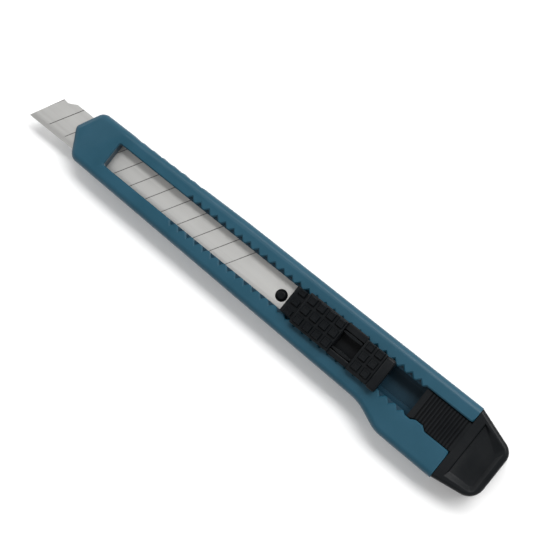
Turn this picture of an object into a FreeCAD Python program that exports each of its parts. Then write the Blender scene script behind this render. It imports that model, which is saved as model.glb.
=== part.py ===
"""Snap off knife: a notched flat handle, a segmented blade on a locking slider, and a latched end cap.

Lengths are in millimetres. Every piece is drawn from one datum: X runs towards the tail from the blade's
first score line, Y runs towards the spine, and Z runs up from the flat back face. The pieces are then
placed so that the origin lies at the middle of the back, halfway between the blade's tip and the cap's end.
"""
import FreeCAD, Part
import os
import Sketcher

DIMENSIONS = {
    # Cutting allowances
    "through_all": 400.0,
    "overcut": 1.0,
    "overlap": 0.1,
    # Handle moulding
    "handle_thick": 8.0,
    "handle_rear": 119.84,
    "nose_x": 3.55,
    "nose_y": -1.75,
    "nose_round": 1.2,
    "shoulder_top_x": 7.25,
    "shoulder_low_x": 7.57,
    "shoulder_top_y": 4.95,
    "shoulder_low_y": -8.45,
    "shoulder_round": 2.6,
    "spine_front_x": 20.0,
    "spine_front_y": 5.04,
    "spine_waist_x": 52.0,
    "spine_waist_y": 5.68,
    "spine_rear_y": 5.78,
    "belly_front_x": 28.0,
    "belly_front_y": -8.88,
    "belly_waist_x": 61.8,
    "belly_waist_y": -9.79,
    "heel_start_x": 97.0,
    "heel_start_y": -10.58,
    "heel_end_x": 103.75,
    "heel_end_y": -13.45,
    "heel_rear_y": -13.7,
    "heel_hollow_round": 12.5,
    "heel_crest_round": 8.5,
    "face_round": 1.6,
    "back_round": 0.8,
    "facet_start": 14.94,
    "facet_tip_height": 6.1,
    "wave_first": 18.6,
    "wave_pitch": 3.05,
    "wave_count": 7,
    "wave_radius": 4.3,
    "wave_depth": 0.28,
    # Channel, slot and teeth
    "floor_height": 1.6,
    "ledge_height": 4.4,
    "lip_underside": 6.4,
    "channel_top": 2.55,
    "channel_low": -6.85,
    "groove_top": 0.35,
    "groove_low": -4.65,
    "exit_height": 0.6,
    "exit_margin": 0.12,
    "slot_front": 15.72,
    "slot_top_front": 1.42,
    "slot_top_rear": 1.14,
    "slot_low_front": -4.93,
    "slot_low_rear": -5.74,
    "slot_corner": 0.5,
    "slot_edge": 0.3,
    "slot_end": 106.3,
    "tooth_first": 37.58,
    "tooth_pitch": 2.5,
    "tooth_count": 28,
    "tooth_depth": 0.95,
    "tooth_floor": 6.9,
    "tooth_overlap": 0.3,
    "tail_slot_front": 107.0,
    "tail_slot_top": 1.72,
    "tail_slot_low": -6.55,
    "prong_round": 0.6,
    "catch_low": -6.33,
    "catch_rear": 108.6,
    "bump_front": 109.7,
    "bump_rear": 111.7,
    "bump_top": -5.68,
    "bump_foot": 112.8,
    # Blade
    "blade_width": 9.0,
    "blade_thick": 0.38,
    "blade_bottom": 4.5,
    "blade_spine": 2.36,
    "blade_tip_x": -7.56,
    "segment_length": 5.0,
    "score_count": 12,
    "score_lean": 0.6,
    "score_width": 0.12,
    "score_depth": 0.1,
    "score_centre": -1.8,
    "notch_rear_x": 0.35,
    "notch_step_x": -0.7,
    "notch_step": 0.6,
    "notch_floor_x": -1.8,
    "notch_depth": 1.1,
    "notch_front_x": -3.1,
    "notch_rise": 0.9,
    "edge_thick": 0.06,
    "bevel_width": 1.1,
    "tang_end": 73.9,
    "tang_cut": 1.2,
    "hole_x": 67.94,
    "hole_y": -2.74,
    "hole_radius": 1.5,
    # Slider
    "slider_gap": 0.2,
    "tongue_front": 65.9,
    "carriage_rear": 94.7,
    "peg_radius": 1.3,
    "peg_top": 5.35,
    "peg_edge": 0.45,
    "blade_play": 0.02,
    "plate_front": 70.6,
    "plate_top": 6.2,
    "neck_top": 0.8,
    "neck_low": -4.85,
    "pad_bottom": 8.12,
    "step_front": 70.31,
    "step_top": 1.5,
    "step_low": -5.6,
    "step_height": 9.0,
    "pad_front": 73.79,
    "pad_top": 2.11,
    "pad_low": -6.28,
    "pad_height": 9.9,
    "rail_front": 84.75,
    "rail_rear": 90.4,
    "rail_top": 2.3,
    "rail_low": -6.45,
    "rail_height": 9.0,
    "bar_front": 96.3,
    "bar_rear": 98.7,
    "bar_top": 1.75,
    "bar_low": -6.85,
    "bar_height": 10.6,
    "bar_edge": 0.5,
    "rear_pad_low": -6.6,
    "window_front": 84.85,
    "window_rear": 90.2,
    "window_top": 0.45,
    "window_low": -5.05,
    "window_floor": 5.2,
    "stud_side": 1.8,
    "stud_pitch": 2.68,
    "stud_rise": 0.6,
    "stud_row": 0.72,
    "step_stud_side": 1.5,
    "step_stud_x": 72.3,
    "pad_stud_x": 75.35,
    "rear_stud_x": 92.05,
    # Lock clip
    "lock_notch": 20,
    "arm_top": -0.05,
    "arm_low": -4.55,
    "arm_end": 0.4,
    "arm_middle": 0.8,
    "arm_height": 8.75,
    "clip_floor": 0.5,
    "nose_bottom": 7.0,
    "nose_height": 0.75,
    "nose_width": 1.3,
    "nose_tip": 0.24,
    "nose_gap_top": 0.25,
    "nose_gap_low": 0.62,
    # End cap and its latch
    "cap_front": 119.98,
    "cap_end": 130.72,
    "cap_top_front": 5.62,
    "cap_top_rear": 1.93,
    "cap_low_front": -13.4,
    "cap_low_rear": -11.7,
    "cap_top_round": 3.2,
    "cap_low_round": 4.0,
    "cap_face_round": 1.0,
    "panel_front": 122.15,
    "panel_rear": 129.4,
    "panel_top_front": 3.4,
    "panel_top_rear": 1.4,
    "panel_low_front": -11.35,
    "panel_low_rear": -10.72,
    "panel_depth": 0.8,
    "panel_corner": 0.7,
    "well_front": 122.45,
    "well_rear": 128.5,
    "well_top_front": 3.0,
    "well_top_rear": -0.7,
    "well_low": -9.85,
    "well_low_rear": -9.75,
    "plug_front": 110.0,
    "plug_gap": 0.25,
    "snap_depth": 6.0,
    "snap_width": 9.6,
    "snap_height": 0.9,
    "latch_front": 107.5,
    "latch_top": 1.42,
    "latch_low": -6.38,
    "latch_waist": -5.5,
    "latch_barb": -6.15,
    "latch_barb_rear": 108.16,
    "latch_ramp_end": 109.37,
    "latch_bar": 1.5,
    "latch_bottom": 4.65,
    "latch_height": 7.7,
    "latch_rib_pitch": 0.82,
    "latch_rib_count": 13,
    "latch_rib_gap": 0.4,
    "latch_rib_depth": 0.8,
}

ORIGIN_SHIFT_X = "0 - ( blade_tip_x + cap_end ) / 2"
ORIGIN_SHIFT_Y = "0 - ( spine_rear_y + heel_rear_y ) / 2"

doc = FreeCAD.newDocument("snap_off_knife")
sheet = doc.addObject("Spreadsheet::Sheet", "Dims")
for row, (alias, number) in enumerate(DIMENSIONS.items(), start=1):
    sheet.set(f"A{row}", alias)
    sheet.set(f"B{row}", str(number))
    sheet.setAlias(f"B{row}", alias)
doc.recompute()

pieces = []


def bound(text):
    """An expression in which every dimension's name points at the sheet."""
    words = text.replace("(", " ( ").replace(")", " ) ").split()
    return " ".join(f"Dims.{word}" if word in DIMENSIONS else word for word in words)


def value(text):
    return float(sheet.evalExpression(bound(text)))


def new_body(name):
    """An empty body, placed so that the shared datum meets the part's origin."""
    body = doc.addObject("PartDesign::Body", name)
    body.Label = name
    body.setExpression("Placement.Base.x", bound(ORIGIN_SHIFT_X))
    body.setExpression("Placement.Base.y", bound(ORIGIN_SHIFT_Y))
    pieces.append(body)
    return body


def new_sketch(body, name, role, offset):
    """An empty sketch on one of the body's own planes, moved off it by an expression."""
    sketch = body.newObject("Sketcher::SketchObject", name)
    plane = next(item for item in body.Origin.OriginFeatures if item.Role == role)
    sketch.AttachmentSupport = [(plane, "")]
    sketch.MapMode = "FlatFace"
    sketch.setExpression("AttachmentOffset.Base.z", bound(offset))
    return sketch


def fix_point(sketch, element, end, corner):
    """Bind one end of a line, or a circle's centre, to two expressions."""
    for kind, text in zip(("DistanceX", "DistanceY"), corner):
        constraint = Sketcher.Constraint(kind, -1, 1, element, end, value(text))
        index = sketch.addConstraint(constraint)
        sketch.setExpression(f"Constraints[{index}]", bound(text))


def outline(body, name, corners, offset="0", role="XY_Plane"):
    """A closed outline of straight runs; each corner is a pair of expressions."""
    sketch = new_sketch(body, name, role, offset)
    points = [FreeCAD.Vector(value(across), value(along), 0) for across, along in corners]
    for start, end in zip(points, points[1:] + points[:1]):
        sketch.addGeometry(Part.LineSegment(start, end), False)
    for index, corner in enumerate(corners):
        following = (index + 1) % len(corners)
        sketch.addConstraint(Sketcher.Constraint("Coincident", index, 2, following, 1))
        fix_point(sketch, index, 1, corner)
    return sketch


def circle(body, name, centre, radius, offset="0"):
    sketch = new_sketch(body, name, "XY_Plane", offset)
    middle = FreeCAD.Vector(value(centre[0]), value(centre[1]), 0)
    sketch.addGeometry(Part.Circle(middle, FreeCAD.Vector(0, 0, 1), value(radius)), False)
    fix_point(sketch, 0, 3, centre)
    index = sketch.addConstraint(Sketcher.Constraint("Radius", 0, value(radius)))
    sketch.setExpression(f"Constraints[{index}]", bound(radius))
    return sketch


def box_corners(front, rear, low, top):
    return [(front, low), (rear, low), (rear, top), (front, top)]


def pad(body, sketch, length):
    feature = body.newObject("PartDesign::Pad", f"{sketch.Name}_pad")
    feature.Profile = sketch
    feature.setExpression("Length", bound(length))
    doc.recompute()
    return feature


def pocket(body, sketch, length="", through=False):
    """Cut upwards from the sketch by a length, or both ways through everything."""
    before = body.Shape.Volume
    feature = body.newObject("PartDesign::Pocket", f"{sketch.Name}_cut")
    feature.Profile = sketch
    feature.Midplane = through
    feature.Reversed = not through
    feature.setExpression("Length", bound("through_all" if through else length))
    doc.recompute()
    if feature.Shape.Volume > before - 0.001:
        raise RuntimeError(f"{feature.Name} removes nothing")
    return feature


def pattern(body, feature, axis, count, spacing):
    """Repeat a feature along a line of its own sketch."""
    repeat = body.newObject("PartDesign::LinearPattern", f"{feature.Name}_row")
    repeat.Originals = [feature]
    repeat.Direction = (feature.Profile[0], [axis])
    repeat.setExpression("Length", bound(f"( {count} - 1 ) * {spacing}"))
    repeat.setExpression("Occurrences", bound(count))
    body.Tip = repeat
    doc.recompute()
    return repeat


def edge_names(feature, test):
    return [f"Edge{number}" for number, edge in enumerate(feature.Shape.Edges, start=1) if test(edge)]


def stands_at(places, reach=0.05):
    """A test for upright edges that stand at one of the places, each a pair of expressions."""
    spots = [(value(across), value(along)) for across, along in places]

    def test(edge):
        ends = [vertex.Point for vertex in edge.Vertexes]
        if len(ends) != 2:
            return False
        return any(all(abs(end.x - x) < reach and abs(end.y - y) < reach for end in ends) for x, y in spots)

    return test


def dress(body, kind, label, test, size):
    """Fillet or chamfer the edges of the newest shape that pass the test."""
    base = body.Tip
    feature = body.newObject(f"PartDesign::{kind}", label)
    feature.Base = (base, edge_names(base, test))
    feature.setExpression("Radius" if kind == "Fillet" else "Size", bound(size))
    body.Tip = feature
    doc.recompute()
    return feature


def level(edge, height, reach=0.02):
    """True for an edge that lies wholly at one height."""
    return all(abs(vertex.Point.z - height) < reach for vertex in edge.Vertexes)


def make_handle():
    """The one-piece moulding: outline, sloping nose, rounded edges, channel, slot, teeth and grip waves."""
    body = new_body("handle_body")
    corners = [
        ("nose_x", "nose_y"),
        ("shoulder_low_x", "shoulder_low_y"),
        ("belly_front_x", "belly_front_y"),
        ("belly_waist_x", "belly_waist_y"),
        ("heel_start_x", "heel_start_y"),
        ("heel_end_x", "heel_end_y"),
        ("handle_rear", "heel_rear_y"),
        ("handle_rear", "spine_rear_y"),
        ("spine_waist_x", "spine_waist_y"),
        ("spine_front_x", "spine_front_y"),
        ("shoulder_top_x", "shoulder_top_y"),
    ]
    pad(body, outline(body, "handle_outline", corners), "handle_thick")
    rounds = {
        "nose_round": [("nose_x", "nose_y")],
        "shoulder_round": [("shoulder_low_x", "shoulder_low_y"), ("shoulder_top_x", "shoulder_top_y")],
        "heel_hollow_round": [("heel_start_x", "heel_start_y")],
        "heel_crest_round": [("heel_end_x", "heel_end_y")],
    }
    for radius, places in rounds.items():
        dress(body, "Fillet", f"{radius}_edge", stands_at(places), radius)

    facet = [
        ("facet_start", "handle_thick"),
        ("nose_x", "facet_tip_height"),
        ("nose_x - overcut", "facet_tip_height"),
        ("nose_x - overcut", "handle_thick + overcut"),
        ("facet_start", "handle_thick + overcut"),
    ]
    pocket(body, outline(body, "nose_facet", facet, role="XZ_Plane"), through=True)

    rear = value("handle_rear")
    thick = value("handle_thick")

    def on_face(edge):
        """Every edge round the top face and the nose facet, but not the crease between them."""
        ends = [vertex.Point for vertex in edge.Vertexes]
        crease = len(ends) == 2 and abs(ends[0].x - ends[1].x) < 0.01
        return min(end.z for end in ends) > value("facet_tip_height - overlap") and not crease

    dress(body, "Fillet", "face_edges", on_face, "face_round")

    def on_back(edge):
        return level(edge, 0) and edge.BoundBox.XMin < rear - 0.1

    dress(body, "Fillet", "back_edges", on_back, "back_round")

    wave_centre = ("wave_first", "spine_front_y - wave_depth + wave_radius")
    wave = circle(body, "grip_wave", wave_centre, "wave_radius")
    slope = Part.LineSegment(
        FreeCAD.Vector(value("spine_front_x"), value("spine_front_y"), 0),
        FreeCAD.Vector(value("spine_waist_x"), value("spine_waist_y"), 0),
    )
    wave.addGeometry(slope, True)
    fix_point(wave, 1, 1, ("spine_front_x", "spine_front_y"))
    fix_point(wave, 1, 2, ("spine_waist_x", "spine_waist_y"))
    pattern(body, pocket(body, wave, through=True), "Axis0", "wave_count", "wave_pitch")

    channel = box_corners("slot_front", "handle_rear + overcut", "channel_low", "channel_top")
    pocket(body, outline(body, "channel", channel, "ledge_height"), "lip_underside - ledge_height")
    groove = box_corners("slot_front", "handle_rear + overcut", "groove_low", "groove_top")
    pocket(body, outline(body, "groove", groove, "floor_height"), "ledge_height - floor_height")
    blade_exit = box_corners(
        "nose_x - overcut",
        "slot_front + overlap",
        "blade_spine - blade_width - exit_margin",
        "blade_spine + exit_margin",
    )
    pocket(body, outline(body, "blade_exit", blade_exit, "ledge_height"), "exit_height")

    slot = [
        ("slot_front", "slot_low_front"),
        ("slot_end", "slot_low_rear"),
        ("tail_slot_front", "catch_low"),
        ("catch_rear", "catch_low"),
        ("bump_front", "bump_top"),
        ("bump_rear", "bump_top"),
        ("bump_foot", "tail_slot_low"),
        ("handle_rear - prong_round", "tail_slot_low"),
        ("handle_rear - prong_round / 4", "tail_slot_low - prong_round / 4"),
        ("handle_rear", "tail_slot_low - prong_round"),
        ("handle_rear + overcut", "tail_slot_low - prong_round"),
        ("handle_rear + overcut", "tail_slot_top + prong_round"),
        ("handle_rear", "tail_slot_top + prong_round"),
        ("handle_rear - prong_round / 4", "tail_slot_top + prong_round / 4"),
        ("handle_rear - prong_round", "tail_slot_top"),
        ("tail_slot_front", "tail_slot_top"),
        ("slot_end", "slot_top_rear"),
        ("slot_front", "slot_top_front"),
    ]
    pocket(body, outline(body, "slot", slot, "lip_underside - overlap"), "handle_thick")
    front_corners = [("slot_front", "slot_low_front"), ("slot_front", "slot_top_front")]
    dress(body, "Fillet", "slot_corners", stands_at(front_corners), "slot_corner")

    for side, away, back in (("top", "+", "-"), ("low", "-", "+")):
        run = f"( slot_{side}_rear - slot_{side}_front ) / ( slot_end - slot_front )"
        root = f"slot_{side}_front + {run} * ( tooth_first - slot_front )"
        tooth = outline(
            body,
            f"tooth_{side}",
            [
                ("tooth_first - tooth_depth - tooth_overlap", f"( {root} ) {back} tooth_overlap"),
                ("tooth_first + tooth_depth + tooth_overlap", f"( {root} ) {back} tooth_overlap"),
                ("tooth_first", f"( {root} ) {away} tooth_depth"),
            ],
            "tooth_floor",
        )
        line_start = FreeCAD.Vector(value("slot_front"), value(f"slot_{side}_front"), 0)
        line_end = FreeCAD.Vector(value("slot_end"), value(f"slot_{side}_rear"), 0)
        tooth.addGeometry(Part.LineSegment(line_start, line_end), True)
        fix_point(tooth, 3, 1, ("slot_front", f"slot_{side}_front"))
        fix_point(tooth, 3, 2, ("slot_end", f"slot_{side}_rear"))
        pattern(body, pocket(body, tooth, "handle_thick"), "Axis0", "tooth_count", "tooth_pitch")

    def on_slot_rim(edge):
        """Every edge of the slot, its teeth and the prongs' inner corners at the top face."""
        box = edge.BoundBox
        inside = rim_low < box.YMin and box.YMax < rim_top
        return level(edge, thick) and inside and front - 0.1 < box.XMin and box.XMin < rear - 0.01

    front = value("slot_front")
    rim_low = value("tail_slot_low - prong_round - overlap")
    rim_top = value("tail_slot_top + tooth_depth + overlap")
    dress(body, "Chamfer", "slot_rim", on_slot_rim, "slot_edge")


def make_blade():
    """A strip of steel with a ground edge, leaning score lines, a clipped tang and a hole for the peg."""
    body = new_body("blade")
    edge_y = "blade_spine - blade_width"
    corners = [
        ("blade_tip_x", edge_y),
        ("tang_end", edge_y),
        ("tang_end", "blade_spine - tang_cut"),
        ("tang_end - tang_cut", "blade_spine"),
        ("notch_rear_x", "blade_spine"),
        ("notch_step_x", "blade_spine - notch_step"),
        ("notch_floor_x", "blade_spine - notch_depth"),
        ("notch_front_x", "blade_spine - notch_rise"),
    ]
    pad(body, outline(body, "blade_outline", corners, "blade_bottom"), "blade_thick")
    for side, away, height in (("upper", "+", "blade_bottom + blade_thick"), ("under", "-", "blade_bottom")):
        bevel = [
            (f"{edge_y} + bevel_width", height),
            (f"{edge_y} - overlap", f"blade_bottom + blade_thick / 2 {away} edge_thick / 2"),
            (f"{edge_y} - overlap", f"{height} {away} overcut"),
            (f"{edge_y} + bevel_width", f"{height} {away} overcut"),
        ]
        sketch = outline(body, f"bevel_{side}", bevel, role="YZ_Plane")
        pocket(body, sketch, through=True)
    reach_low = f"{edge_y} + bevel_width / 2"
    reach_top = "blade_spine + overcut"
    low_x = f"score_lean * ( {reach_low} - score_centre )"
    top_x = f"score_lean * ( {reach_top} - score_centre )"
    score = [
        (low_x, reach_low),
        (f"{low_x} + score_width", reach_low),
        (f"{top_x} + score_width", reach_top),
        (top_x, reach_top),
    ]
    cut = pocket(body, outline(body, "score", score, "blade_bottom + blade_thick - score_depth"), "overcut")
    pattern(body, cut, "H_Axis", "score_count", "segment_length")
    hole = circle(body, "peg_hole", ("hole_x", "hole_y"), "hole_radius", "blade_bottom - overcut")
    pocket(body, hole, "blade_thick + 2 * overcut")


def make_carriage():
    """The slider's inner half: a tongue with a peg under the blade, a plate under the lips and a neck."""
    body = new_body("slider_carriage")
    front, rear = "tongue_front", "carriage_rear"
    tongue = box_corners(front, rear, "groove_low + slider_gap", "groove_top - slider_gap")
    lift = "floor_height + slider_gap"
    pad(body, outline(body, "tongue", tongue, lift), f"blade_bottom - ( {lift} )")
    front = "tang_end + overlap"
    plate = box_corners(front, rear, "channel_low + slider_gap", "channel_top - slider_gap")
    pad(body, outline(body, "plate", plate, "blade_bottom"), "plate_top - blade_bottom")
    neck = box_corners("plate_front", rear, "neck_low", "neck_top")
    lift = "blade_bottom + blade_thick + blade_play"
    pad(body, outline(body, "neck", neck, lift), f"pad_bottom - ( {lift} )")
    window = box_corners("window_front", "window_rear", "channel_low", "channel_top")
    pocket(body, outline(body, "window", window, "window_floor"), "pad_bottom - window_floor + overcut")
    peg = circle(body, "peg", ("hole_x", "hole_y"), "peg_radius", "blade_bottom - overlap")
    pad(body, peg, "peg_top - blade_bottom + overlap")
    peg_top = value("peg_top")
    dress(body, "Chamfer", "peg_rim", lambda edge: level(edge, peg_top), "peg_edge")


def studs(body, name, first_x, side_y, height, columns):
    """Studs in three rows, in even columns, on one level of the pad; side_y is their size across the pad."""
    corners = box_corners(
        f"{first_x} - stud_side / 2",
        f"{first_x} + stud_side / 2",
        f"stud_row - {side_y} / 2",
        f"stud_row + {side_y} / 2",
    )
    first = pad(body, outline(body, name, corners, f"{height} - overlap"), "stud_rise + overlap")
    grid = body.newObject("PartDesign::MultiTransform", f"{name}_grid")
    grid.Originals = [first]
    steps = []
    for axis, count, spacing in (("H_Axis", str(columns), "stud_pitch"), ("V_Axis", "3", "stud_pitch")):
        if count == "1":
            continue
        step = body.newObject("PartDesign::LinearPattern", f"{name}_{axis[0]}")
        step.Direction = (first.Profile[0], [axis])
        step.Reversed = axis == "V_Axis"
        step.setExpression("Length", bound(f"( {count} - 1 ) * {spacing}"))
        step.Occurrences = int(count)
        steps.append(step)
    grid.Transformations = steps
    body.Tip = grid
    doc.recompute()


def make_thumb_pad():
    """The slider's outer half: a low step, a studded pad, two rails round a window and a raised bar."""
    body = new_body("thumb_pad")
    levels = (
        ("step", box_corners("step_front", "pad_front + overlap", "step_low", "step_top"), "step_height"),
        ("front_pad", box_corners("pad_front", "rail_front", "pad_low", "pad_top"), "pad_height"),
        ("rails", box_corners("rail_front", "rail_rear", "rail_low", "rail_top"), "rail_height"),
        ("rear_pad", box_corners("rail_rear", "bar_front", "rear_pad_low", "bar_top"), "pad_height"),
        ("rear_bar", box_corners("bar_front", "bar_rear", "bar_low", "bar_top"), "bar_height"),
    )
    for name, corners, height in levels:
        pad(body, outline(body, name, corners, "pad_bottom"), f"{height} - pad_bottom")
    window = box_corners("window_front", "window_rear", "window_low", "window_top")
    opening = outline(body, "pad_window", window, "pad_bottom - overcut")
    pocket(body, opening, "pad_height - pad_bottom + 2 * overcut")
    top = value("bar_height")
    dress(body, "Fillet", "bar_edges", lambda edge: level(edge, top), "bar_edge")
    studs(body, "step_stud", "step_stud_x", "step_stud_side", "step_height", 1)
    studs(body, "pad_stud", "pad_stud_x", "stud_side", "pad_height", 4)
    studs(body, "rear_stud", "rear_stud_x", "stud_side", "pad_height", 2)


def make_lock_spring():
    """A springy clip: a floor and two arms that swell at the middle, each with a nose in a notch."""
    front = value("window_front")
    rear = value("window_rear")
    middle = value("tooth_first + lock_notch * tooth_pitch")
    low = value("window_floor")
    share = (middle - value("slot_front")) / (value("slot_end") - value("slot_front"))
    arm_height = FreeCAD.Vector(0, 0, value("arm_height") - low)
    nose_height = FreeCAD.Vector(0, 0, value("nose_height"))
    half_end = value("arm_end") / 2
    half_middle = value("arm_middle") / 2
    solids = []
    for side, outward in (("top", 1), ("low", -1)):
        centre = value(f"arm_{side}")
        slot_edge = value(f"slot_{side}_front")
        slot_edge += share * (value(f"slot_{side}_rear") - slot_edge)
        reach = outward * (slot_edge - centre) + value("tooth_depth") - value(f"nose_gap_{side}")

        def point(x, rise, height=low):
            return FreeCAD.Vector(x, centre + outward * rise, height)

        outer = Part.Arc(point(front, half_end), point(middle, half_middle), point(rear, half_end))
        inner = Part.Arc(point(rear, -half_end), point(middle, -half_middle), point(front, -half_end))
        rear_end = Part.makeLine(point(rear, half_end), point(rear, -half_end))
        front_end = Part.makeLine(point(front, -half_end), point(front, half_end))
        arm = Part.Wire([outer.toShape(), rear_end, inner.toShape(), front_end])
        solids.append(Part.Face(arm).extrude(arm_height))
        nose_low = value("nose_bottom")
        half_base = value("nose_width") / 2
        half_tip = value("nose_tip") / 2
        nose = [(-half_base, 0), (-half_tip, reach), (half_tip, reach), (half_base, 0), (-half_base, 0)]
        corners = [point(middle + across, rise, nose_low) for across, rise in nose]
        solids.append(Part.Face(Part.makePolygon(corners)).extrude(nose_height))
    corner = FreeCAD.Vector(front, value("arm_low"), low)
    floor = Part.makeBox(rear - front, value("arm_top - arm_low"), value("clip_floor"), corner)
    spring = doc.addObject("Part::Feature", "lock_spring")
    spring.Label = "lock_spring"
    spring.Shape = floor.multiFuse(solids).removeSplitter().Solids[0]
    spring.setExpression("Placement.Base.x", bound(ORIGIN_SHIFT_X))
    spring.setExpression("Placement.Base.y", bound(ORIGIN_SHIFT_Y))
    pieces.append(spring)


def make_end_cap():
    """The tail cap: tapering outline, sunken panel, plug for the groove and a slit for snapping segments."""
    body = new_body("end_cap")
    corners = [
        ("cap_front", "cap_low_front"),
        ("cap_end", "cap_low_rear"),
        ("cap_end", "cap_top_rear"),
        ("cap_front", "cap_top_front"),
    ]
    pad(body, outline(body, "cap_outline", corners), "handle_thick")
    for radius, corner in (("cap_top_round", corners[2]), ("cap_low_round", corners[1])):
        dress(body, "Fillet", f"{radius}_edge", stands_at([corner]), radius)
    front = value("cap_front")

    def around(height):
        return lambda edge: level(edge, height) and edge.BoundBox.XMax > front + 0.1

    dress(body, "Fillet", "cap_face_edges", around(value("handle_thick")), "cap_face_round")
    dress(body, "Fillet", "cap_back_edges", around(0), "back_round")
    rim = [
        ("panel_front", "panel_low_front"),
        ("panel_rear - panel_corner", "panel_low_rear"),
        ("panel_rear", "panel_low_rear + panel_corner"),
        ("panel_rear", "panel_top_rear - panel_corner"),
        ("panel_rear - panel_corner", "panel_top_rear"),
        ("panel_front", "panel_top_front"),
    ]
    floor = [
        ("well_front", "well_low"),
        ("well_rear - panel_corner", "well_low_rear"),
        ("well_rear", "well_low + panel_corner"),
        ("well_rear", "well_top_rear - panel_corner"),
        ("well_rear - panel_corner", "well_top_rear"),
        ("well_front", "well_top_front"),
    ]
    panel = body.newObject("PartDesign::SubtractiveLoft", "panel")
    panel.Profile = outline(body, "panel_floor", floor, "handle_thick - panel_depth")
    panel.Sections = [outline(body, "panel_rim", rim, "handle_thick")]
    panel.Ruled = True
    body.Tip = panel
    doc.recompute()
    rear = "cap_front + overcut"
    plug = box_corners("plug_front", rear, "groove_low + plug_gap", "groove_top - plug_gap")
    lift = "floor_height + plug_gap"
    pad(body, outline(body, "plug", plug, lift), f"ledge_height - ( {lift} )")
    middle = "( cap_low_rear + cap_top_rear ) / 2"
    slit = box_corners(
        "cap_end - snap_depth",
        "cap_end + overcut",
        f"{middle} - snap_width / 2",
        f"{middle} + snap_width / 2",
    )
    pocket(body, outline(body, "snapping_slit", slit, "( handle_thick - snap_height ) / 2"), "snap_height")


def make_cap_latch():
    """The cap's springy tongue: it fills the slot's tail, with cross ribs and a barb behind the bump."""
    body = new_body("cap_latch")
    corners = [
        ("latch_front", "latch_barb"),
        ("latch_barb_rear", "latch_barb"),
        ("latch_ramp_end", "latch_waist"),
        ("bump_rear", "latch_waist"),
        ("bump_foot", "latch_low"),
        ("cap_front", "latch_low"),
        ("cap_front", "latch_top"),
        ("latch_front", "latch_top"),
    ]
    pad(body, outline(body, "latch_outline", corners, "latch_bottom"), "latch_height - latch_bottom")
    gap = box_corners(
        "latch_front + latch_bar",
        "latch_front + latch_bar + latch_rib_gap",
        "latch_low - overcut",
        "latch_top + overcut",
    )
    rib_gap = outline(body, "rib_gap", gap, "latch_height - latch_rib_depth")
    cut = pocket(body, rib_gap, "latch_rib_depth + overcut")
    pattern(body, cut, "H_Axis", "latch_rib_count", "latch_rib_pitch")


def check_document():
    for item in doc.Objects:
        if "Invalid" in item.State or "Error" in item.State:
            raise RuntimeError(f"{item.Name} failed: {item.State}")
    for piece in pieces:
        shape = piece.Shape
        if shape.isNull() or not shape.isValid() or len(shape.Solids) != 1:
            raise RuntimeError(f"{piece.Label} has no single valid solid")


def write_pieces():
    os.makedirs("parts", exist_ok=True)
    for piece in pieces:
        piece.Shape.exportStep(f"parts/{piece.Label}.step")
        print(f"{piece.Label}: {piece.Shape.Volume:.1f} mm3, {piece.Shape.BoundBox}")


make_handle()
make_blade()
make_carriage()
make_thumb_pad()
make_lock_spring()
make_end_cap()
make_cap_latch()
doc.recompute()
check_document()
write_pieces()
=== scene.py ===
"""The looks of a snap off knife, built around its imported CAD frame.

Lengths are in metres, in the frame's own axes: X to the tail, Y to the blade's spine, Z up from the back.
"""
import math

import bmesh
import bpy
from mathutils import Matrix, Vector


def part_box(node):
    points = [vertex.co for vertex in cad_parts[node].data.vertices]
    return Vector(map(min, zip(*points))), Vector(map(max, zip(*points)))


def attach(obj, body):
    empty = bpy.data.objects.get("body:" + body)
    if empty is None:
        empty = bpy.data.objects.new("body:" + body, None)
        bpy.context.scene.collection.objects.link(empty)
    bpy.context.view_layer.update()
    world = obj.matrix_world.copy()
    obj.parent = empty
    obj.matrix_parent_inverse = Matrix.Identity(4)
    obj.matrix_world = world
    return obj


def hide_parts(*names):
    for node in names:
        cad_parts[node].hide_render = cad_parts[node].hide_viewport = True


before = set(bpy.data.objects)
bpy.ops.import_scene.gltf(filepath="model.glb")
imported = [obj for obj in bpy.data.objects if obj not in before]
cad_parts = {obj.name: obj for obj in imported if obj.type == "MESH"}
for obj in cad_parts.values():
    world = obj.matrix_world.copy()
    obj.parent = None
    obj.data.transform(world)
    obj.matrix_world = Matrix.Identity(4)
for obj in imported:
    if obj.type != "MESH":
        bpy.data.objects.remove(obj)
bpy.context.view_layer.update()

MM = 0.001

# The blade's score lines. They lean, and are counted from the first one, where it crosses the middle of
# the strip. Each is a groove that starts on its line and has its middle a little behind it. Painted shade
# darkens the blade's colour in each groove.
BLADE_LOW, BLADE_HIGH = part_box("blade")
TIP_TO_FIRST_SCORE = 7.56 * MM
EDGE_TO_MIDDLE = 4.84 * MM
FIRST_SCORE = Vector((BLADE_LOW.x + TIP_TO_FIRST_SCORE, BLADE_LOW.y + EDGE_TO_MIDDLE))
SCORE_PITCH = 5 * MM
SCORE_LEAN = 0.6
SCORE_MIDDLE = 0.06 * MM
SCORE_HALF_WIDTH = 0.11 * MM
SCORE_REACH = 57 * MM
SCORE_SHADE_SHARE = 0.75
SCORE_SHADE_COLOUR = (0.05, 0.05, 0.05, 1)
GROUND_EDGE = 1.2 * MM

# The handle's channel, whose colour is darkened with depth as painted shade.
HANDLE_LOW, HANDLE_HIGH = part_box("handle_body")
CHANNEL_RIM = HANDLE_HIGH.z - 0.4 * MM
CHANNEL_FLOOR = HANDLE_LOW.z + 6.9 * MM
CHANNEL_MIDDLE = BLADE_LOW.y + 4.6 * MM
CHANNEL_HALF = 5.3 * MM
CHANNEL_FRONT = HANDLE_LOW.x + 11 * MM
CHANNEL_SHADE_COLOUR = (0.002, 0.026, 0.046, 1)
BACK_SKIN = HANDLE_LOW.z + 1.2 * MM


# Materials

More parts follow.
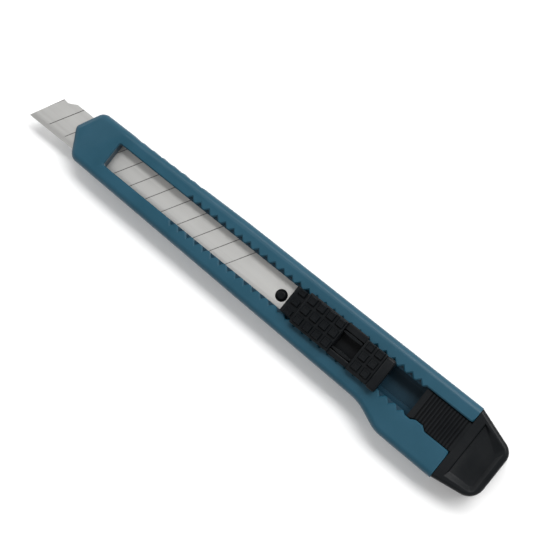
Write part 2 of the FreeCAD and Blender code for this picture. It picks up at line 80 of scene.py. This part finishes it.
# Noise scales are in cycles to a metre. A bump has a share of its effect, and the height that it stands for.
MOTTLE_SCALE = 140
PEBBLE_SCALE = 5200
PEBBLE_BUMP = 0.1
PEBBLE_HEIGHT = 0.02 * MM
WAVE_SCALE = 420
WAVE_BUMP = 0.2
WAVE_HEIGHT = 0.03 * MM
LINE_SCALE = 900
LINE_STRETCH = (0.04, 6, 1)
LINE_SHARE = 0.6
LINE_BUMP = 0.12
LINE_HEIGHT = 0.01 * MM
CLOUD_SCALE = 90

# How far the roughness falls below a material's own figure, and rises above it.
SMOOTHER = 0.05
ROUGHER_PLASTIC = 0.07
ROUGHER_STEEL = 0.08


class Nodes:
    """A short way to write a node material."""

    def __init__(self, name):
        self.material = bpy.data.materials.new(name)
        self.material.use_nodes = True
        self.tree = self.material.node_tree
        self.shader = self.tree.nodes["Principled BSDF"]

    def add(self, kind, inputs=None, **settings):
        node = self.tree.nodes.new(kind)
        for key, setting in settings.items():
            setattr(node, key, setting)
        for key, source in (inputs or {}).items():
            self.feed(node.inputs[key], source)
        return node

    def feed(self, socket, source):
        if isinstance(source, bpy.types.NodeSocket):
            self.tree.links.new(source, socket)
        else:
            socket.default_value = source

    def math(self, operation, first, second=0.0):
        node = self.add("ShaderNodeMath", operation=operation)
        self.feed(node.inputs[0], first)
        self.feed(node.inputs[1], second)
        return node.outputs[0]

    def product(self, *factors):
        result = factors[0]
        for factor in factors[1:]:
            result = self.math("MULTIPLY", result, factor)
        return result

    def place(self, stretch=(1, 1, 1)):
        """Coordinates on the piece, in metres times the stretch."""
        where = self.add("ShaderNodeTexCoord").outputs["Object"]
        return self.add("ShaderNodeMapping", {"Vector": where, "Scale": stretch}).outputs[0]

    def noise(self, scale, detail=3.0, stretch=(1, 1, 1), roughness=0.55):
        inputs = {"Vector": self.place(stretch), "Scale": scale, "Detail": detail, "Roughness": roughness}
        return self.add("ShaderNodeTexNoise", inputs).outputs["Fac"]

    def spread(self, value, low, high, start=0.3, end=0.7):
        inputs = {"Value": value, "From Min": start, "From Max": end, "To Min": low, "To Max": high}
        return self.add("ShaderNodeMapRange", inputs).outputs[0]

    def blend(self, share, first, second):
        node = self.add("ShaderNodeMix", data_type="RGBA")
        self.feed(node.inputs["Factor"], share)
        self.feed(node.inputs["A"], first)
        self.feed(node.inputs["B"], second)
        return node.outputs["Result"]

    def bump(self, height, strength, distance, under=None):
        inputs = {"Height": height, "Strength": strength, "Distance": distance}
        if under:
            inputs["Normal"] = under
        return self.add("ShaderNodeBump", inputs).outputs[0]


def painted_channel_shade(nodes):
    """Painted shade: how far a point lies down in the handle's channel, from 0 at the face to 1 at the
    floor.
    """
    where = nodes.add("ShaderNodeSeparateXYZ", {"Vector": nodes.place()})
    depth = nodes.spread(where.outputs[2], 1, 0, CHANNEL_FLOOR, CHANNEL_RIM)
    across = nodes.math("ABSOLUTE", nodes.math("SUBTRACT", where.outputs[1], CHANNEL_MIDDLE))
    inside = nodes.math("LESS_THAN", across, CHANNEL_HALF)
    above_back = nodes.math("GREATER_THAN", where.outputs[2], BACK_SKIN)
    behind_nose = nodes.math("GREATER_THAN", where.outputs[0], CHANNEL_FRONT)
    return nodes.product(depth, inside, above_back, behind_nose)


def painted_score_shade(nodes):
    """Painted shade in a score groove: from 0 beside the line to the full shade share on it."""
    where = nodes.add("ShaderNodeSeparateXYZ", {"Vector": nodes.place()})
    lean = nodes.math("MULTIPLY", nodes.math("SUBTRACT", where.outputs[1], FIRST_SCORE.y), SCORE_LEAN)
    along = nodes.math("SUBTRACT", nodes.math("SUBTRACT", where.outputs[0], FIRST_SCORE.x), lean)
    past = nodes.math("PINGPONG", nodes.math("SUBTRACT", along, SCORE_MIDDLE), SCORE_PITCH / 2)
    groove = nodes.math("LESS_THAN", past, SCORE_HALF_WIDTH)
    face = nodes.math("GREATER_THAN", where.outputs[1], BLADE_LOW.y + GROUND_EDGE)
    scored_part = nodes.math("LESS_THAN", nodes.math("ABSOLUTE", along), SCORE_REACH)
    return nodes.product(groove, face, scored_part, SCORE_SHADE_SHARE)


def moulded_plastic(name, dark, light, rough, gloss, shaded_channel=False):
    """Spark-eroded moulding: soft mottling, a fine pebbled grain and uneven gloss, with painted channel
    shade if asked.
    """
    nodes = Nodes(name)
    mottle = nodes.spread(nodes.noise(MOTTLE_SCALE, detail=4), 0, 1)
    colour = nodes.blend(mottle, dark, light)
    # Painted shade: the colour darkens towards the floor of the handle's channel.
    if shaded_channel:
        colour = nodes.blend(painted_channel_shade(nodes), colour, CHANNEL_SHADE_COLOUR)
    pebbles = nodes.noise(PEBBLE_SCALE, detail=2)
    waves = nodes.noise(WAVE_SCALE)
    wavy = nodes.bump(waves, WAVE_BUMP, WAVE_HEIGHT)
    shader = nodes.shader.inputs
    nodes.feed(shader["Base Color"], colour)
    nodes.feed(shader["Roughness"], nodes.spread(pebbles, rough - SMOOTHER, rough + ROUGHER_PLASTIC))
    nodes.feed(shader["Normal"], nodes.bump(pebbles, PEBBLE_BUMP, PEBBLE_HEIGHT, wavy))
    shader["Specular IOR Level"].default_value = gloss
    return nodes.material


def ground_steel(name, dark, light, rough):
    """Cold-rolled strip: lines along its length, faint clouds, and painted shade in the score grooves."""
    nodes = Nodes(name)
    lines = nodes.noise(LINE_SCALE, detail=4, stretch=LINE_STRETCH)
    clouds = nodes.noise(CLOUD_SCALE)
    line_tone = nodes.math("MULTIPLY", lines, LINE_SHARE)
    cloud_tone = nodes.math("MULTIPLY", clouds, 1 - LINE_SHARE)
    tone = nodes.math("ADD", line_tone, cloud_tone)
    strip = nodes.blend(nodes.spread(tone, 0, 1), dark, light)
    shader = nodes.shader.inputs
    # Painted shade: the score grooves are darkened in the base colour.
    nodes.feed(shader["Base Color"], nodes.blend(painted_score_shade(nodes), strip, SCORE_SHADE_COLOUR))
    nodes.feed(shader["Roughness"], nodes.spread(lines, rough - SMOOTHER, rough + ROUGHER_STEEL))
    nodes.feed(shader["Normal"], nodes.bump(lines, LINE_BUMP, LINE_HEIGHT))
    shader["Metallic"].default_value = 1.0
    return nodes.material


HANDLE = moulded_plastic(
    "handle_moulding",
    dark=(0.010, 0.054, 0.084, 1),
    light=(0.014, 0.063, 0.098, 1),
    rough=0.38,
    gloss=0.22,
    # The handle's channel gets painted shade.
    shaded_channel=True,
)
BLACK = moulded_plastic(
    "black_moulding",
    dark=(0.003, 0.004, 0.005, 1),
    light=(0.006, 0.007, 0.008, 1),
    rough=0.33,
    gloss=0.11,
)
CAP = moulded_plastic(
    "cap_moulding",
    dark=(0.004, 0.005, 0.006, 1),
    light=(0.008, 0.009, 0.010, 1),
    rough=0.34,
    gloss=0.11,
)
BLADE = ground_steel(
    "blade_steel",
    dark=(0.49, 0.487, 0.475, 1),
    light=(0.55, 0.547, 0.533, 1),
    rough=0.46,
)


# Pieces that keep the CAD's shape

# Angles are in degrees. Where two faces turn by less than SHARP_ANGLE, or BLADE_SHARP_ANGLE on the blade,
# the shading is smooth and the edge isn't rounded. Faces that turn by less than FLAT_ANGLE are merged.
SHARP_ANGLE = 28
BLADE_SHARP_ANGLE = 5
FLAT_ANGLE = 0.8
SAME_POINT = 0.0005 * MM


def softened(node, name, material, body, width, segments=2, angle=SHARP_ANGLE):
    """Add a piece with the CAD node's shape, whose sharp edges are rounded as a moulding's are."""
    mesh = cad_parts[node].data.copy()
    mesh.name = name
    piece = bpy.data.objects.new(name, mesh)
    bpy.context.scene.collection.objects.link(piece)
    form = bmesh.new()
    form.from_mesh(mesh)
    bmesh.ops.remove_doubles(form, verts=form.verts, dist=SAME_POINT)
    flat = math.radians(FLAT_ANGLE)
    bmesh.ops.dissolve_limit(form, angle_limit=flat, verts=form.verts, edges=form.edges)
    form.to_mesh(mesh)
    form.free()
    mesh.materials.clear()
    finish_piece(piece, material, width, segments, angle)
    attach(piece, body)
    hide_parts(node)


def finish_piece(piece, material, width, segments, angle):
    """Give a piece its material, smooth its shading, and round its sharp edges unless the width is 0."""
    piece.data.materials.append(material)
    for face in piece.data.polygons:
        face.use_smooth = True
    piece.data.set_sharp_from_angle(angle=math.radians(angle))
    if not width:
        return
    bevel = piece.modifiers.new("edges", "BEVEL")
    bevel.width = width
    bevel.segments = segments
    bevel.limit_method = "ANGLE"
    bevel.angle_limit = math.radians(angle)
    bevel.use_clamp_overlap = True
    bevel.harden_normals = True


softened("handle_body", "handle_moulding", HANDLE, "handle", 0.1 * MM)
softened("blade", "segmented_blade", BLADE, "slider", 0, angle=BLADE_SHARP_ANGLE)
softened("slider_carriage", "carriage", BLACK, "slider", 0.15 * MM)
softened("lock_spring", "lock_clip", BLACK, "slider", 0.18 * MM, segments=3)
softened("end_cap", "cap_moulding", CAP, "cap", 0.18 * MM)
softened("cap_latch", "latch_tongue", CAP, "cap", 0.12 * MM)


# Thumb pad, in millimetres from the low corner of its box: X from the front end, Y from the cutting edge's
# side, and Z from its underside.

PAD_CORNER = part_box("thumb_pad")[0]
PAD_ENDS = {
    "step": (0, 3.6),
    "front": (3.48, 14.46),
    "rails": (14.4, 20.15),
    "rear": (20.09, 26.05),
    "bar": (25.99, 28.39),
}
PAD_TOPS = {"step": 0.88, "front": 1.78, "rails": 0.88, "rear": 1.78, "bar": 2.48}
PAD_ROUNDS = {"step": 0.25, "front": 0.3, "rails": 0.2, "rear": 0.3, "bar": 0.6}
PAD_SIDES = {
    "step": ((1.25, 8.35),),
    "front": ((0.57, 8.96),),
    "rails": ((0.4, 1.8), (7.3, 9.11)),
    "rear": ((0.25, 8.6),),
    "bar": ((0, 8.6),),
}
PAD_EDGE = 0.1 * MM
PAD_EDGE_SEGMENTS = 3
BLOCK_SEGMENTS = 4
STUD_ROWS = (2.21, 4.89, 7.57)
STUD_COLUMNS = {"step": (1.99,), "front": (5.04, 7.72, 10.4, 13.08), "rear": (21.74, 24.42)}
STUD_FOOT = 2.1
STEP_STUD_FOOT = 1.65
STUD_TOP = 1.62
STUD_ROOT = 0.15
STUD_RISE = 0.6
STUD_RIM = 0.24
STUD_DISH_EDGE = 0.36
STUD_DISH = 0.12


def pad_point(x, y, z):
    """A place on the thumb pad, as a point of the frame."""
    return PAD_CORNER + Vector((x, y, z)) * MM


def new_piece(name, form):
    mesh = bpy.data.meshes.new(name)
    bmesh.ops.recalc_face_normals(form, faces=form.faces)
    form.to_mesh(mesh)
    form.free()
    piece = bpy.data.objects.new(name, mesh)
    bpy.context.scene.collection.objects.link(piece)
    return piece


def add_block(form, low, high, radius):
    """A box between two corners, with its upright and upper edges rounded."""
    made = bmesh.ops.create_cube(form, size=1)
    for vertex in made["verts"]:
        vertex.co = Vector((high[i] if vertex.co[i] > 0 else low[i] for i in range(3)))
    edges = {edge for vertex in made["verts"] for edge in vertex.link_edges}
    rounded = [edge for edge in edges if max(vertex.co.z for vertex in edge.verts) > low.z + radius]
    bmesh.ops.bevel(
        form, geom=rounded, offset=radius, segments=BLOCK_SEGMENTS, profile=0.5, affect="EDGES"
    )


def add_stud(form, x, y, base, foot_across):
    """A stud with sloping sides and a shallow dish in its top, sunk a little into the block under it."""
    slope = STUD_FOOT - STUD_TOP
    foot = (STUD_FOOT / 2, foot_across / 2)
    top = (STUD_TOP / 2, (foot_across - slope) / 2)
    rings = (
        (foot, 0, base - STUD_ROOT),
        (foot, 0, base),
        (top, 0, base + STUD_RISE),
        (top, STUD_RIM, base + STUD_RISE),
        (top, STUD_DISH_EDGE, base + STUD_RISE - STUD_DISH),
    )
    levels = []
    for (half_x, half_y), inset, z in rings:
        right = half_x - inset
        far = half_y - inset
        corners = ((-right, -far), (right, -far), (right, far), (-right, far))
        levels.append([form.verts.new(pad_point(x + along, y + across, z)) for along, across in corners])
    form.faces.new(levels[0][::-1])
    form.faces.new(levels[-1])
    for lower, upper in zip(levels, levels[1:]):
        for i in range(4):
            form.faces.new((lower[i], lower[i - 3], upper[i - 3], upper[i]))


def join_shapes(piece, added):
    """Unite a piece with itself and another closed form, which is then removed."""
    union = piece.modifiers.new("union", "BOOLEAN")
    union.operation = "UNION"
    union.solver = "EXACT"
    union.use_self = True
    union.object = added
    bpy.context.view_layer.update()
    shape = bpy.data.meshes.new_from_object(piece.evaluated_get(bpy.context.evaluated_depsgraph_get()))
    piece.modifiers.remove(union)
    old = piece.data
    piece.data = shape
    bpy.data.meshes.remove(old)
    bpy.data.objects.remove(added)


def make_thumb_pad():
    """The slider's grip: stepped blocks, two rails beside the window, a rounded bar and dished studs."""
    blocks = bmesh.new()
    for level, (front, rear) in PAD_ENDS.items():
        for low, high in PAD_SIDES[level]:
            radius = PAD_ROUNDS[level] * MM
            add_block(blocks, pad_point(front, low, 0), pad_point(rear, high, PAD_TOPS[level]), radius)
    piece = new_piece("thumb_pad_moulding", blocks)
    studs = bmesh.new()
    for level, columns in STUD_COLUMNS.items():
        foot_across = STEP_STUD_FOOT if level == "step" else STUD_FOOT
        for x in columns:
            for y in STUD_ROWS:
                add_stud(studs, x, y, PAD_TOPS[level], foot_across)
    join_shapes(piece, new_piece("studs", studs))
    finish_piece(piece, BLACK, PAD_EDGE, PAD_EDGE_SEGMENTS, SHARP_ANGLE)
    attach(piece, "slider")
    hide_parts("thumb_pad")


make_thumb_pad()


# Stage

CAMERA_TARGET = Vector((2.16 * MM, 3.96 * MM, (BLADE_LOW.z + BLADE_HIGH.z) / 2))
CAMERA_LEAN = math.radians(11)
CAMERA_ROLL = math.radians(38.6)
CAMERA_DISTANCE = 328.8 * MM
CAMERA_LENS = 93.35
SENSOR_WIDTH = 36
CLIP_START = 10 * MM

FLOOR_HALF = 1.5
FLOOR_LEVEL = -0.05 * MM
FLOOR_CLOUDS = 3
FLOOR_ROUGHNESS = 0.9
FLOOR_DARK = (0.92, 0.92, 0.92, 1)
FLOOR_LIGHT = (0.95, 0.95, 0.95, 1)

# The world's light at the walls and straight up. It fades between two heights, as sines of the elevation.
WALL_LIGHT = 0.80
CEILING_LIGHT = 0.14
WALL_TOP = 0.35
CEILING_EDGE = 0.95

# Each lamp's place, its length along the knife, its width, and its power in watts.
LAMPS = {
    "key": ((0.12, 0.38, 0.54), 0.5, 0.35, 1.0),
    "strip": ((0.05, 0.28, 0.46), 0.7, 0.14, 2.3),
    "low_strip": ((0.14, 0.52, 0.36), 0.35, 0.10, 1.0),
    "nose_fill": ((-0.50, 0.11, 0.24), 0.2, 0.3, 0.55),
    "blade_fill": ((0.0, -0.16, 0.60), 0.6, 0.25, 0.45),
}


def add_camera():
    """The camera leans towards the tail, and is rolled so that the knife runs down to the right."""
    back = Vector((math.sin(CAMERA_LEAN), 0, math.cos(CAMERA_LEAN)))
    along = Vector((math.cos(CAMERA_LEAN), 0, -math.sin(CAMERA_LEAN)))
    across = Vector((0, 1, 0))
    right = along * math.cos(CAMERA_ROLL) + across * math.sin(CAMERA_ROLL)
    up = across * math.cos(CAMERA_ROLL) - along * math.sin(CAMERA_ROLL)
    lens = bpy.data.cameras.new("camera")
    lens.lens = CAMERA_LENS
    lens.sensor_width = SENSOR_WIDTH
    lens.clip_start = CLIP_START
    camera = bpy.data.objects.new("camera", lens)
    bpy.context.scene.collection.objects.link(camera)
    turn = Matrix((right, up, back)).transposed()
    camera.matrix_world = Matrix.Translation(CAMERA_TARGET + back * CAMERA_DISTANCE) @ turn.to_4x4()
    bpy.context.scene.camera = camera


def add_floor():
    mesh = bpy.data.meshes.new("floor")
    half = FLOOR_HALF
    corners = ((-half, -half), (half, -half), (half, half), (-half, half))
    mesh.from_pydata([(x, y, FLOOR_LEVEL) for x, y in corners], [], [(0, 1, 2, 3)])
    floor = bpy.data.objects.new("floor", mesh)
    bpy.context.scene.collection.objects.link(floor)
    nodes = Nodes("pale_floor")
    clouds = nodes.blend(nodes.noise(FLOOR_CLOUDS), FLOOR_DARK, FLOOR_LIGHT)
    nodes.feed(nodes.shader.inputs["Base Color"], clouds)
    nodes.shader.inputs["Roughness"].default_value = FLOOR_ROUGHNESS
    mesh.materials.append(nodes.material)


def add_lamp(name, place, length, width, power):
    """A soft box that faces the knife, with its long side along the handle."""
    lamp = bpy.data.lights.new(name, "AREA")
    lamp.shape = "RECTANGLE"
    lamp.size = length
    lamp.size_y = width
    lamp.energy = power
    light = bpy.data.objects.new(name, lamp)
    bpy.context.scene.collection.objects.link(light)
    back = Vector(place).normalized()
    along = (Vector((1, 0, 0)) - back * back.x).normalized()
    turn = Matrix((along, back.cross(along), back)).transposed()
    light.matrix_world = Matrix.Translation(place) @ turn.to_4x4()


def add_world():
    """White walls all round, which fade to a dimmer ceiling."""
    world = bpy.data.worlds.new("studio")
    world.use_nodes = True
    nodes = world.node_tree.nodes
    links = world.node_tree.links
    direction = nodes.new("ShaderNodeSeparateXYZ")
    links.new(nodes.new("ShaderNodeTexCoord").outputs["Generated"], direction.inputs[0])
    fade = nodes.new("ShaderNodeMapRange")
    links.new(direction.outputs["Z"], fade.inputs["Value"])
    fade.inputs["From Min"].default_value = WALL_TOP
    fade.inputs["From Max"].default_value = CEILING_EDGE
    fade.inputs["To Min"].default_value = WALL_LIGHT
    fade.inputs["To Max"].default_value = CEILING_LIGHT
    background = nodes["Background"]
    background.inputs["Color"].default_value = (1, 1, 1, 1)
    links.new(fade.outputs[0], background.inputs["Strength"])
    bpy.context.scene.world = world


add_camera()
add_floor()
add_world()
for lamp_name, lamp_settings in LAMPS.items():
    add_lamp(lamp_name, *lamp_settings)
bpy.context.scene.view_settings.view_transform = "Standard"
